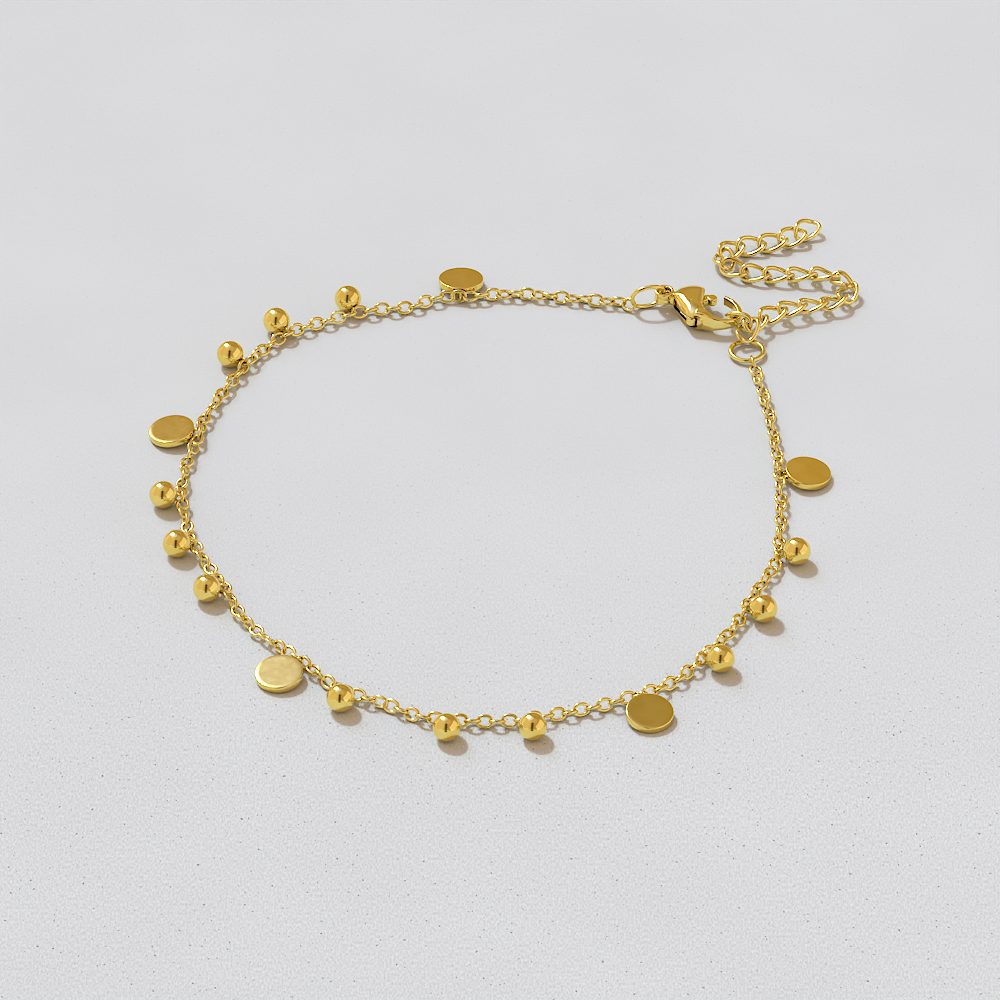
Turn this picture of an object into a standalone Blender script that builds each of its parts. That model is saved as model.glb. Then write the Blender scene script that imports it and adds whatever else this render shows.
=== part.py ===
"""Charm anklet with a lobster clasp and an extender chain.

It lies as a closed loop on the plane z = 0, with +Z up. Sizes are in millimetres
here and the finished pieces are in metres.
"""
import math

import bmesh
import bpy
from mathutils import Matrix, Vector

MM = 0.001
SHARP_ANGLE = math.radians(40)

# Fine chain: one smooth tube through these points, from the clasp's ring round to the end ring
CHAIN_ROUTE = [
    (14.50, 34.85), (13.90, 35.20), (10.93, 35.57), (7.36, 36.16), (3.75, 36.68), (0.13, 36.76), (-3.40, 36.18),
    (-6.96, 36.02), (-10.19, 34.39), (-13.78, 33.80), (-17.20, 32.61), (-20.54, 31.17), (-23.60, 29.20),
    (-26.16, 26.60), (-28.17, 23.56), (-29.83, 20.31), (-31.28, 16.96), (-32.56, 13.54), (-33.17, 9.95),
    (-34.11, 6.43), (-34.56, 2.81), (-34.51, -0.84), (-34.04, -4.46), (-33.15, -8.00), (-31.84, -11.40),
    (-30.14, -14.63), (-28.76, -18.00), (-27.29, -21.32), (-25.09, -24.23), (-22.60, -26.90),
    (-20.12, -29.50), (-17.85, -32.23), (-14.85, -34.31), (-11.53, -35.83), (-8.38, -37.67),
    (-4.85, -38.41), (-1.21, -38.47), (2.37, -38.36), (5.88, -37.34), (9.36, -36.25), (12.81, -35.04),
    (16.09, -33.46), (18.95, -31.20), (21.25, -28.37), (23.29, -25.34), (25.19, -22.23), (26.55, -18.85),
    (27.98, -15.49), (29.55, -12.21), (30.07, -8.60), (30.36, -4.96), (30.50, -1.31), (30.51, 2.34),
    (30.40, 5.99), (30.16, 9.63), (29.81, 13.26), (29.35, 16.88), (28.78, 20.49), (28.18, 23.80),
]
CHAIN_RADIUS = 0.45
CHAIN_POINTS = 80
CHAIN_HEIGHT = 0.64
CHAIN_HEIGHT_AT_CHARM = 0.86
CHARM_LIFT_REACH = 3.0

# Charms, each with its place as a share of the chain's length
CHARMS = [
    ("disc", 0.0928), ("ball", 0.1532), ("ball", 0.1934), ("ball", 0.2286), ("disc", 0.2939),
    ("ball", 0.3511), ("ball", 0.3908), ("ball", 0.4311), ("disc", 0.5028), ("ball", 0.5396),
    ("ball", 0.5945), ("ball", 0.6345), ("disc", 0.6926), ("ball", 0.7402), ("ball", 0.7842),
    ("ball", 0.8333), ("disc", 0.9023),
]
CLEARANCE = 0.09
BAIL_WIRE = 0.14
BAIL_RADIUS = CHAIN_RADIUS + CLEARANCE + BAIL_WIRE
BALL_RADIUS = 1.5
DISC_RADIUS = 2.53
DISC_THICKNESS = 0.8
DISC_EDGE = 0.16
DISC_TILT = math.radians(8)
SOLDER = 0.05

# Jump rings. The clasp's oval ring stands on its edge in the clasp's eye, the end ring lies down.
CLASP_RING_HALF_LENGTH = 1.83
CLASP_RING_HALF_HEIGHT = 1.5
CLASP_RING_WIRE = 0.24
CLASP_RING_TURN = math.radians(13)
CLASP_RING_LEAN = math.radians(11)
CLASP_RING_TILT = math.radians(7)
CLASP_RING_PLAY = 0.05
CLASP_RING_SQUARENESS = 0.85
END_RING_CENTRE = (27.55, 26.34, 0.50)
END_RING_RADIUS = 1.83
END_RING_WIRE = 0.27
END_RING_LEAN = math.radians(0)

# Extender links: the middle of each with its roll in degrees. They follow one another,
# but the first three, which hang on the clasp's hook, have their own turn and rise as well.
LINK_LENGTH = 3.8
LINK_WIDTH = 2.65
LINK_WIRE = 0.25
LINK_TWIST = math.radians(42)
LINKS = [
    (27.7, 29.05, 1.4, -5, 64, 9), (26.85, 30.95, 1.35, 105, -44, 8), (28.55, 30.55, 1.35, 0, 50, -6),
    (30.6, 32.2, 1.4, 5), (32.8, 33.4, 1.3, -5), (35.2, 34.2, 1.1, -10), (37.6, 35.0, 1.0, -15),
    (39.1, 36.7, 0.95, -5), (38.7, 38.8, 0.95, 15), (36.7, 40.0, 0.95, 15), (34.1, 40.2, 0.9, 10),
    (31.5, 40.3, 0.8, 0), (28.9, 40.5, 0.8, -10), (26.5, 41.3, 0.9, -15), (25.4, 43.0, 1.0, 0),
    (26.2, 44.9, 1.0, 20), (28.5, 45.8, 0.9, 25), (31.0, 46.5, 0.9, 15), (33.2, 47.3, 1.1, 25),
    (34.9, 48.7, 1.1, 35),
]

# Clasp: it lies flat, its own X axis runs from the tail eye to the hook. The lengths and widths
# in its tables are shares of its length, the heights are shares of its half thickness.
CLASP_CENTRE = (22.494, 33.461)
CLASP_TURN = math.radians(-24.77)
CLASP_LENGTH = 10.0
CLASP_HALF_THICKNESS = 1.33
CLASP_HEIGHT = CLASP_HALF_THICKNESS + 0.05
BODY_MIDDLE = (-0.09, -0.03)
BODY_OUTLINE = [
    (-0.37, 0.0), (-0.35, 0.11), (-0.295, 0.205), (-0.215, 0.268), (-0.13, 0.295), (-0.06, 0.275),
    (-0.015, 0.18), (0.025, 0.06), (0.075, -0.05), (0.135, -0.13), (0.16, -0.2), (0.145, -0.27),
    (0.09, -0.315), (0.03, -0.33), (-0.03, -0.31), (-0.11, -0.24), (-0.2, -0.16), (-0.3, -0.07),
]
# Hook and neck: points of the middle line, each with half width and half height
HOOK = [
    (0.05, -0.215, 0.07, 0.9), (0.13, -0.208, 0.062, 0.86), (0.2, -0.222, 0.045, 0.77),
    (0.27, -0.226, 0.032, 0.65), (0.35, -0.2, 0.03, 0.52), (0.42, -0.152, 0.029, 0.44),
    (0.46, -0.09, 0.03, 0.4), (0.473, -0.01, 0.033, 0.42), (0.44, 0.075, 0.031, 0.44),
    (0.345, 0.165, 0.027, 0.45), (0.24, 0.212, 0.022, 0.45), (0.158, 0.226, 0.019, 0.44),
]
HOOK_SQUARENESS = 0.42
NECK = [(-0.395, 0.0, 0.05, 0.45), (-0.3, 0.0, 0.06, 0.6)]
NECK_SQUARENESS = 0.8
EYE_MIDDLE = (-0.442, 0.0)
EYE_PLAY = 0.47
EYE_HALF_WIDTH = 0.2
EYE_BAND_HALF_HEIGHT = 0.37
EYE_BAND_APART = 0.35
EYE_RISE = 0.25
PIVOT = (-0.11, -0.07)
PIN_RADIUS = 0.35
PIN_STANDS_OUT = 0.03
PIN_PLAY = 0.06
LEVER_HALF_THICKNESS = 0.45
SLOT_PLAY = 0.2
SLOT = [
    (-0.3, -0.46), (0.095, -0.46), (0.095, -0.1), (0.2, 0.0), (0.2, 0.34), (-0.02, 0.34), (-0.2, 0.14),
    (-0.3, 0.06),
]
LEVER_OUTLINE = [
    (0.03, 0.2), (-0.04, 0.165), (-0.12, 0.07), (-0.2, 0.005), (-0.265, -0.03), (-0.275, -0.06),
    (-0.2, -0.13), (-0.11, -0.195), (-0.04, -0.24), (0.0, -0.27), (0.04, -0.26), (0.045, -0.21),
    (0.0, -0.12), (-0.02, -0.05), (0.0, 0.03), (0.04, 0.09), (0.07, 0.14), (0.06, 0.19),
]
# Round ends of the lever: middle, radius as a share of the clasp's length, half thickness
THUMB_TAB = ((0.012, -0.264), 0.062, 0.58)
GATE_KNOB = ((0.07, 0.163), 0.062, 0.5)
ROUND_END_EDGE = 0.8

GOLD = (0.83, 0.60, 0.22, 1.0)


def gold_material(name, roughness):
    material = bpy.data.materials.new(name)
    material.use_nodes = True
    shader = material.node_tree.nodes["Principled BSDF"]
    shader.inputs["Base Color"].default_value = GOLD
    shader.inputs["Metallic"].default_value = 1.0
    shader.inputs["Roughness"].default_value = roughness
    material.diffuse_color = GOLD
    return material


def add_object(name, mesh, material=None, origin=None):
    """A new object, with its origin at a point in millimetres, shaded smooth with crisp edges."""
    thing = bpy.data.objects.new(name, mesh)
    bpy.context.scene.collection.objects.link(thing)
    if origin is not None:
        mesh.transform(Matrix.Translation(-origin * MM))
        thing.location = origin * MM
    if material is not None:
        mesh.materials.clear()
        mesh.materials.append(material)
        mesh.shade_smooth()
        mesh.set_sharp_from_angle(angle=SHARP_ANGLE)
    return thing


def mesh_from(name, points, faces):
    """A closed mesh in metres from points in millimetres, with its faces outward."""
    made = bmesh.new()
    corners = [made.verts.new(Vector(point) * MM) for point in points]
    for face in faces:
        made.faces.new([corners[index] for index in face])
    bmesh.ops.triangulate(made, faces=[face for face in made.faces if len(face.verts) > 4])
    bmesh.ops.recalc_face_normals(made, faces=made.faces)
    if made.calc_volume(signed=True) < 0:
        bmesh.ops.reverse_faces(made, faces=made.faces)
    mesh = bpy.data.meshes.new(name)
    made.to_mesh(mesh)
    made.free()
    return mesh


def lofted(sections, closed):
    """Points and faces of rings of equal length, joined one to the next."""
    sides = len(sections[0])
    points = [point for section in sections for point in section]
    count = len(sections)
    faces = []
    for row in range(count if closed else count - 1):
        after = (row + 1) % count
        for side in range(sides):
            beside = (side + 1) % sides
            faces.append((row * sides + side, row * sides + beside,
                          after * sides + beside, after * sides + side))
    if not closed:
        faces.append(tuple(range(sides - 1, -1, -1)))
        faces.append(tuple((count - 1) * sides + side for side in range(sides)))
    return points, faces


def power(value, exponent):
    return math.copysign(abs(value) ** exponent, value)


def oval_section(middle, across, up, sides, squareness=1.0):
    """A ring of points round a middle point, rounder or squarer in its corners."""
    section = []
    for side in range(sides):
        angle = 2 * math.pi * (side + 0.5) / sides
        section.append(middle + across * power(math.cos(angle), squareness)
                       + up * power(math.sin(angle), squareness))
    return section


def smooth_point(points, place):
    """A point of the smooth curve through the points, place counts points from the first."""
    last = len(points) - 1
    index = min(int(place), last - 1)
    share = place - index
    before = points[index] * 2 - points[index + 1] if index == 0 else points[index - 1]
    start = points[index]
    end = points[index + 1]
    after = end * 2 - start if index + 2 > last else points[index + 2]
    return 0.5 * (start * 2 + (end - before) * share
                  + (before * 2 - start * 5 + end * 4 - after) * share ** 2
                  + (start * 3 - before - end * 3 + after) * share ** 3)


class Chain:
    """The chain's middle line on the floor plan, measured by its length."""

    def __init__(self, route, steps=24):
        points = [Vector(point) for point in route]
        places = (len(points) - 1) * steps
        self.line = [smooth_point(points, number / steps) for number in range(places + 1)]
        self.reached = [0.0]
        for start, end in zip(self.line, self.line[1:]):
            self.reached.append(self.reached[-1] + (end - start).length)
        self.length = self.reached[-1]

    def flat_point(self, length):
        length = min(max(length, 0.0), self.length)
        low = 0
        high = len(self.reached) - 1
        while high - low > 1:
            half = (low + high) // 2
            if self.reached[half] <= length:
                low = half
            else:
                high = half
        share = (length - self.reached[low]) / (self.reached[high] - self.reached[low])
        return self.line[low].lerp(self.line[high], share)

    def point(self, length):
        flat = self.flat_point(length)
        lift = 0.0
        for _, share in CHARMS:
            away = (length - share * self.length) / CHARM_LIFT_REACH
            lift = max(lift, math.exp(-away * away))
        height = CHAIN_HEIGHT + (CHAIN_HEIGHT_AT_CHARM - CHAIN_HEIGHT) * lift
        return Vector((flat.x, flat.y, height))

    def directions(self, length):
        """Along the chain, and level outward from the loop."""
        step = 0.4
        ahead = self.flat_point(length + step) - self.flat_point(length - step)
        ahead.normalize()
        return Vector((ahead.x, ahead.y, 0)), Vector((ahead.y, -ahead.x, 0))


def make_chain(chain, material):
    curve = bpy.data.curves.new("chain", "CURVE")
    curve.dimensions = "3D"
    curve.bevel_depth = CHAIN_RADIUS * MM
    curve.bevel_resolution = 2
    curve.render_resolution_u = 0
    curve.use_fill_caps = True
    spline = curve.splines.new("POLY")
    spline.points.add(CHAIN_POINTS - 1)
    for number in range(CHAIN_POINTS):
        point = chain.point(chain.length * number / (CHAIN_POINTS - 1)) * MM
        spline.points[number].co = (point.x, point.y, point.z, 1.0)
    curve.materials.append(material)
    thing = bpy.data.objects.new("chain", curve)
    bpy.context.scene.collection.objects.link(thing)
    return thing


def ring_mesh(name, centre, first, second, radius, wire, around=12, sides=5, flat_wire=None):
    """A closed ring of wire in the plane of two unit directions."""
    axis = first.cross(second)
    sections = []
    for step in range(around):
        angle = 2 * math.pi * step / around
        outward = first * math.cos(angle) + second * math.sin(angle)
        up = axis * (flat_wire or wire)
        squareness = 0.6 if flat_wire else 1.0
        sections.append(oval_section(centre + outward * radius, outward * wire, up, sides, squareness))
    return mesh_from(name, *lofted(sections, True))


def bent_wire_mesh(name, middle_at, wire, around, sides):
    """A closed loop of wire. Its middle line is a function of the angle round the loop."""
    sections = []
    for step in range(around):
        angle = 2 * math.pi * (step + 0.5) / around
        middle = middle_at(angle)
        along = (middle_at(angle + 0.1) - middle_at(angle - 0.1)).normalized()
        outward = (middle - along * middle.dot(along)).normalized()
        sections.append(oval_section(middle, outward * wire, along.cross(outward) * wire, sides))
    return mesh_from(name, *lofted(sections, True))


def united(name, meshes, material, origin, cut=()):
    """One solid from meshes that overlap, less the meshes in cut."""
    base = add_object(name, meshes[0])
    helpers = []
    for operation, others in (("UNION", meshes[1:]), ("DIFFERENCE", cut)):
        for other in others:
            helper = add_object("helper", other)
            helpers.append(helper)
            modifier = base.modifiers.new(operation, "BOOLEAN")
            modifier.operation = operation
            modifier.solver = "EXACT"
            modifier.object = helper
    bpy.context.view_layer.update()
    seen = base.evaluated_get(bpy.context.evaluated_depsgraph_get())
    joined = bpy.data.meshes.new_from_object(seen)
    for thing in helpers + [base]:
        bpy.data.objects.remove(thing)
    joined.name = name
    return add_object(name, joined, material, origin)


def bail_mesh(chain, length):
    """The loop that a charm hangs from, round the chain."""
    _, outward = chain.directions(length)
    return ring_mesh("bail", chain.point(length), outward, Vector((0, 0, 1)), BAIL_RADIUS, BAIL_WIRE)


def make_ball(name, chain, length, material):
    """A ball that touches the floor, soldered to its loop."""
    _, outward = chain.directions(length)
    foot = chain.point(length)
    rise = BALL_RADIUS - foot.z
    reach = BALL_RADIUS + BAIL_RADIUS - SOLDER
    centre = foot + outward * math.sqrt(reach ** 2 - rise ** 2) + Vector((0, 0, rise))
    made = bmesh.new()
    bmesh.ops.create_uvsphere(made, u_segments=16, v_segments=8, radius=BALL_RADIUS * MM,
                              matrix=Matrix.Translation(centre * MM))
    ball = bpy.data.meshes.new("ball")
    made.to_mesh(ball)
    made.free()
    return united(name, [ball, bail_mesh(chain, length)], material, centre)


def make_disc(name, chain, length, material):
    """A flat disc that leans from its loop down to the floor."""
    ahead, outward = chain.directions(length)
    foot = chain.point(length)
    fall = outward * math.cos(DISC_TILT) - Vector((0, 0, math.sin(DISC_TILT)))
    normal = fall.cross(ahead)
    if normal.z < 0:
        normal = -normal
    half = DISC_THICKNESS / 2
    centre = foot + outward * (BAIL_RADIUS + DISC_RADIUS * math.cos(DISC_TILT) - SOLDER * 2)
    centre.z = DISC_RADIUS * math.sin(DISC_TILT) + half * math.cos(DISC_TILT)
    profile = [(DISC_RADIUS - DISC_EDGE, -half), (DISC_RADIUS, -half + DISC_EDGE),
               (DISC_RADIUS, half - DISC_EDGE), (DISC_RADIUS - DISC_EDGE, half)]
    sections = []
    for radius, height in profile:
        ring = []
        for step in range(28):
            angle = 2 * math.pi * step / 28
            ring.append(centre + fall * (radius * math.cos(angle))
                        + ahead * (radius * math.sin(angle)) + normal * height)
        sections.append(ring)
    disc = mesh_from("disc", *lofted(sections, False))
    return united(name, [disc, bail_mesh(chain, length)], material, centre)


def make_clasp_ring(material):
    """An oval that stands on its edge, with one end down through the eye."""
    level = Vector((math.cos(CLASP_RING_TURN), math.sin(CLASP_RING_TURN), 0))
    back = Vector((-level.y, level.x, 0))
    rising = Vector((0, 0, math.cos(CLASP_RING_LEAN))) - back * math.sin(CLASP_RING_LEAN)
    long_way = level * math.cos(CLASP_RING_TILT) + rising * math.sin(CLASP_RING_TILT)
    short_way = rising * math.cos(CLASP_RING_TILT) - level * math.sin(CLASP_RING_TILT)
    centre = clasp_point(EYE_MIDDLE, 0) - level * (CLASP_RING_HALF_LENGTH + CLASP_RING_PLAY)

    def middle_at(angle):
        return (long_way * (CLASP_RING_HALF_LENGTH * power(math.cos(angle), CLASP_RING_SQUARENESS))
                + short_way * (CLASP_RING_HALF_HEIGHT * power(math.sin(angle), CLASP_RING_SQUARENESS)))

    lowest = min(middle_at(math.radians(degrees)).z for degrees in range(360))
    centre.z = CLASP_RING_WIRE - lowest
    mesh = bent_wire_mesh("ring_clasp", middle_at, CLASP_RING_WIRE, 20, 6)
    mesh.transform(Matrix.Translation(centre * MM))
    add_object("ring_clasp", mesh, material, centre)


def make_end_ring(material):
    centre = Vector(END_RING_CENTRE)
    rising = Vector((0, math.cos(END_RING_LEAN), math.sin(END_RING_LEAN)))
    mesh = ring_mesh("ring_end", centre, Vector((1, 0, 0)), rising, END_RING_RADIUS, END_RING_WIRE, 20, 6)
    add_object("ring_end", mesh, material, centre)


def curb_point(angle):
    """A point of a curb link's middle line: an oval, twisted along its length."""
    length = (LINK_LENGTH / 2 - LINK_WIRE) * power(math.cos(angle), 0.85)
    width = (LINK_WIDTH / 2 - LINK_WIRE) * power(math.sin(angle), 0.85)
    twist = -LINK_TWIST * math.cos(angle)
    return Vector((length, width * math.cos(twist), width * math.sin(twist)))


def link_poses():
    """Each link's pose. It points from the link before it to the link after it."""
    poses = []
    last = len(LINKS) - 1
    for number, place in enumerate(LINKS):
        ahead = Vector(LINKS[min(number + 1, last)][:3]) - Vector(LINKS[max(number - 1, 0)][:3])
        turn = math.atan2(ahead.y, ahead.x)
        rise = math.atan2(ahead.z, math.hypot(ahead.x, ahead.y))
        if len(place) > 4:
            turn, rise = (math.radians(value) for value in place[4:])
        poses.append(Matrix.Translation(place[:3]) @ Matrix.Rotation(turn, 4, "Z")
                     @ Matrix.Rotation(-rise, 4, "Y") @ Matrix.Rotation(math.radians(place[3]), 4, "X"))
    return poses


def make_link(name, pose, material):
    mesh = bent_wire_mesh(name, curb_point, LINK_WIRE, 14, 6)
    mesh.transform(Matrix.Translation(pose.translation * MM) @ pose.to_3x3().to_4x4())
    return add_object(name, mesh, material, pose.translation)


def clasp_point(flat, height):
    """A point of the clasp from shares of its length, with its height over its middle plane."""
    x, y = (share * CLASP_LENGTH for share in flat)
    return Vector((CLASP_CENTRE[0] + x * math.cos(CLASP_TURN) - y * math.sin(CLASP_TURN),
                   CLASP_CENTRE[1] + x * math.sin(CLASP_TURN) + y * math.cos(CLASP_TURN),
                   CLASP_HEIGHT + height))


def plate_mesh(name, outline, half_thickness):
    sections = [[clasp_point(point, height) for point in outline]
                for height in (-half_thickness, half_thickness)]
    return mesh_from(name, *lofted(sections, False))


def pillow_mesh(name, outline, centre, half_thickness, levels=6):
    """A body with rounded edges from an outline that shrinks towards both faces."""
    sections = []
    for level in range(levels + 1):
        rise = math.sin(math.pi * (level / levels - 0.5) * 0.88)
        shrink = (1 - abs(rise) ** 2.6) ** (1 / 2.6)
        ring = []
        for x, y in outline:
            flat = (centre[0] + (x - centre[0]) * shrink, centre[1] + (y - centre[1]) * shrink)
            ring.append(clasp_point(flat, rise * half_thickness / math.sin(math.pi * 0.44)))
        sections.append(ring)
    return mesh_from(name, *lofted(sections, False))


def round_end_mesh(name, middle, radius, half_thickness, sides=12):
    """A short round block with its edges taken off, upright in the clasp."""
    sections = []
    for height, share in ((-1, ROUND_END_EDGE), (-0.6, 1), (0.6, 1), (1, ROUND_END_EDGE)):
        ring = []
        for side in range(sides):
            angle = 2 * math.pi * side / sides
            flat = (middle[0] + radius * share * math.cos(angle), middle[1] + radius * share * math.sin(angle))
            ring.append(clasp_point(flat, height * half_thickness))
        sections.append(ring)
    return mesh_from(name, *lofted(sections, False))


def bar_mesh(name, route, squareness, sides=12, steps=2):
    """A bent bar of oval section along a route in the clasp's plane."""
    points = [Vector(row) for row in route]
    count = (len(points) - 1) * steps
    rows = [smooth_point(points, number / steps) for number in range(count + 1)]
    sections = []
    for number, row in enumerate(rows):
        before = rows[max(number - 1, 0)]
        after = rows[min(number + 1, count)]
        along = Vector((after[0] - before[0], after[1] - before[1])).normalized()
        middle = clasp_point((row[0], row[1]), 0)
        across = clasp_point((row[0] + along.y * row[2], row[1] - along.x * row[2]), 0) - middle
        up = Vector((0, 0, row[3] * CLASP_HALF_THICKNESS))
        sections.append(oval_section(middle, across, up, sides, squareness))
    return mesh_from(name, *lofted(sections, False))


def pin_mesh(radius, half_length, sides=16):
    """A round pin along Z through the lever's pivot."""
    made = bmesh.new()
    pose = Matrix.Translation(clasp_point(PIVOT, 0) * MM)
    bmesh.ops.create_cone(made, cap_ends=True, segments=sides, radius1=radius * MM,
                          radius2=radius * MM, depth=2 * half_length * MM, matrix=pose)
    mesh = bpy.data.meshes.new("pin")
    made.to_mesh(mesh)
    made.free()
    return mesh


def make_clasp(body_material, lever_material):
    eye_radius = CLASP_RING_WIRE + EYE_PLAY + EYE_HALF_WIDTH
    bands = [ring_mesh("eye", clasp_point(EYE_MIDDLE, EYE_RISE + height), Vector((1, 0, 0)), Vector((0, 1, 0)),
                       eye_radius, EYE_HALF_WIDTH, 16, 8, EYE_BAND_HALF_HEIGHT)
             for height in (-EYE_BAND_APART, EYE_BAND_APART)]
    body = pillow_mesh("body", BODY_OUTLINE, BODY_MIDDLE, CLASP_HALF_THICKNESS)
    hook = bar_mesh("hook", HOOK, HOOK_SQUARENESS)
    neck = bar_mesh("neck", NECK, NECK_SQUARENESS, 10, 1)
    solids = [body, hook, neck] + bands
    through = CLASP_HALF_THICKNESS * 2
    slot = plate_mesh("slot", SLOT, LEVER_HALF_THICKNESS + SLOT_PLAY)
    hole = pin_mesh(PIN_RADIUS + PIN_PLAY, through)
    united("clasp_body", solids, body_material, clasp_point((0, 0), 0), [slot, hole])
    lever = [plate_mesh("lever", LEVER_OUTLINE, LEVER_HALF_THICKNESS),
             round_end_mesh("tab", *THUMB_TAB), round_end_mesh("knob", *GATE_KNOB)]
    pivot = clasp_point(PIVOT, 0)
    united("clasp_lever", lever, lever_material, pivot, [pin_mesh(PIN_RADIUS + PIN_PLAY, through)])
    pin = pin_mesh(PIN_RADIUS, CLASP_HALF_THICKNESS + PIN_STANDS_OUT)
    add_object("clasp_pin", pin, body_material, pivot)


def centre_everything():
    """Moves the whole so that its box stands on z = 0 with its middle at the origin."""
    bpy.context.view_layer.update()
    graph = bpy.context.evaluated_depsgraph_get()
    corners = []
    for thing in bpy.context.scene.objects:
        shape = thing.evaluated_get(graph).to_mesh()
        corners.extend(thing.matrix_world @ vertex.co for vertex in shape.vertices)
    low = Vector([min(corner[axis] for corner in corners) for axis in range(3)])
    high = Vector([max(corner[axis] for corner in corners) for axis in range(3)])
    move = Vector((-(low.x + high.x) / 2, -(low.y + high.y) / 2, -low.z))
    for thing in bpy.context.scene.objects:
        thing.location += move
    print("size in mm:", [round(value / MM, 2) for value in high - low])
    print("moved in mm:", [round(value / MM, 3) for value in move])


def main():
    for thing in list(bpy.data.objects):
        bpy.data.objects.remove(thing)
    plated = gold_material("plated_gold", 0.22)
    chain_gold = gold_material("chain_gold", 0.28)
    clasp_gold = gold_material("clasp_gold", 0.2)
    chain = Chain(CHAIN_ROUTE)
    make_chain(chain, chain_gold)
    makers = {"ball": make_ball, "disc": make_disc}
    counts = {"ball": 0, "disc": 0}
    for kind, share in CHARMS:
        counts[kind] += 1
        makers[kind](f"{kind}_{counts[kind]:02d}", chain, share * chain.length, plated)
    make_clasp_ring(clasp_gold)
    make_end_ring(clasp_gold)
    for number, pose in enumerate(link_poses(), 1):
        make_link(f"extender_{number:02d}", pose, clasp_gold)
    make_clasp(clasp_gold, clasp_gold)
    centre_everything()


main()
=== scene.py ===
"""Dresses the charm anklet: fine cable chain, soldered ball and disc charms, lobster clasp and
curb link extender in polished gold plating, lying on pale plaster in soft studio light.

Lengths are in millimetres until a mesh is made. The anklet's own places are those of the CAD
source, which counts from a point on the floor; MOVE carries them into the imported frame.
"""
import math

import bmesh
import bpy
from mathutils import Matrix, Vector


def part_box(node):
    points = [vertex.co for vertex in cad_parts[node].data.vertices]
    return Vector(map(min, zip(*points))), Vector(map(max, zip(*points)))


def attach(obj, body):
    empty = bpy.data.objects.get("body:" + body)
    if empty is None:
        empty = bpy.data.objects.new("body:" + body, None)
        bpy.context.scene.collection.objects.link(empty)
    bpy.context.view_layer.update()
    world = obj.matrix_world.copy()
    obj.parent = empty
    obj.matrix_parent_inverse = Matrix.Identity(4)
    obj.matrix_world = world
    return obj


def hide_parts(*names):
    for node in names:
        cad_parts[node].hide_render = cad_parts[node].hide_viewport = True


MM = 0.001
UP = Vector((0, 0, 1))

# Camera: a long lens, 38 degrees above the floor
CAMERA_HEIGHT = 482.57
CAMERA_BEHIND = 617.66
CAMERA_DOWN = math.radians(38)
SENSOR = 36.0
LENS = 7211.2 * SENSOR / 1000

# Light: a compact cool key from the back left, a white panel on the right and a warm room, in metres
KEY_FROM = Vector((-0.328, 0.531, 0.781))
KEY_STRENGTH = 1.55
KEY_ANGLE = math.radians(3.5)
KEY_COLOUR = (0.66, 0.92, 0.99)
ROOM = (0.43, 0.30, 0.16)
PANEL_COLOUR = (0.60, 0.62, 0.80)
PANEL_TOWARD = Vector((0.96, -0.29, 0.42))
PANEL_DISTANCE = 1.05
PANEL_WIDTH = 1.75
PANEL_HEIGHT = 0.85
PANEL_WATTS = 2.0 * PANEL_WIDTH * PANEL_HEIGHT
# Soft patches of the room: azimuth from the back towards the right, elevation, the angles from
# its middle where it starts to fade and ends, and the colour it adds, less than 0 where it is dim
PATCHES = [
    (-34.5, 48, 3, 13, (3.4, 4.2, 7.4)),
    (-30.5, 34, 3, 13.7, (3.1, 3.8, 6.6)),
    (-34, 62, 4, 26, (0.27, 0.42, 1.2)),
    (-100, 22, 30, 66, (0.29, 0.29, 0.30)),
    (-45, 8, 8, 40, (0.18, 0.19, 0.18)),
    (110, 30, 20, 55, (0.10, 0.09, 0.06)),
    (0, 89, 5, 38, (0.14, 0.15, 0.18)),
    (8, 35, 6, 22, (0.06, 0.06, 0.01)),
    (12, 56, 4, 16, (-0.09, -0.06, -0.08)),
    (180, -12, 12, 42, (0.34, 0.38, 0.44)),
    (-140, -12, 8, 36, (0.14, 0.22, 0.30)),
    (140, -12, 8, 36, (0.14, 0.20, 0.26)),
    (45, -12, 8, 34, (0.16, 0.18, 0.20)),
]
# The dark camera on its stand, seen from the anklet: directions, the angles where it starts to
# fade and ends, and the share of light left there
CAMERA_DARK = [(-174, 6), (-174, 24), (-174, 42), (-174, 60)]
CAMERA_DARK_ANGLES = (5, 14)
CAMERA_DARK_LEFT = 0.25

# The photograph's crisp edges, as the share of a sharpening filter
CRISPNESS = 0.2

# Fine chain: the CAD tube's middle line, from the clasp's ring round to the end ring
CHAIN_ROUTE = [
    (14.50, 34.85), (13.90, 35.20), (10.93, 35.57), (7.36, 36.16), (3.75, 36.68), (0.13, 36.76),
    (-3.40, 36.18), (-6.96, 36.02), (-10.19, 34.39), (-13.78, 33.80), (-17.20, 32.61), (-20.54, 31.17),
    (-23.60, 29.20), (-26.16, 26.60), (-28.17, 23.56), (-29.83, 20.31), (-31.28, 16.96),
    (-32.56, 13.54), (-33.17, 9.95), (-34.11, 6.43), (-34.56, 2.81), (-34.51, -0.84), (-34.04, -4.46),
    (-33.15, -8.00), (-31.84, -11.40), (-30.14, -14.63), (-28.76, -18.00), (-27.29, -21.32),
    (-25.09, -24.23), (-22.60, -26.90), (-20.12, -29.50), (-17.85, -32.23), (-14.85, -34.31),
    (-11.53, -35.83), (-8.38, -37.67), (-4.85, -38.41), (-1.21, -38.47), (2.37, -38.36), (5.88, -37.34),
    (9.36, -36.25), (12.81, -35.04), (16.09, -33.46), (18.95, -31.20), (21.25, -28.37), (23.29, -25.34),
    (25.19, -22.23), (26.55, -18.85), (27.98, -15.49), (29.55, -12.21), (30.07, -8.60), (30.36, -4.96),
    (30.50, -1.31), (30.51, 2.34), (30.40, 5.99), (30.16, 9.63), (29.81, 13.26), (29.35, 16.88),
    (28.78, 20.49), (28.18, 23.80),
]
CHAIN_HEIGHT = 0.64
CHAIN_HEIGHT_AT_CHARM = 0.86
CHARM_LIFT_REACH = 3.0
CABLE_PITCH = 1.295
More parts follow.
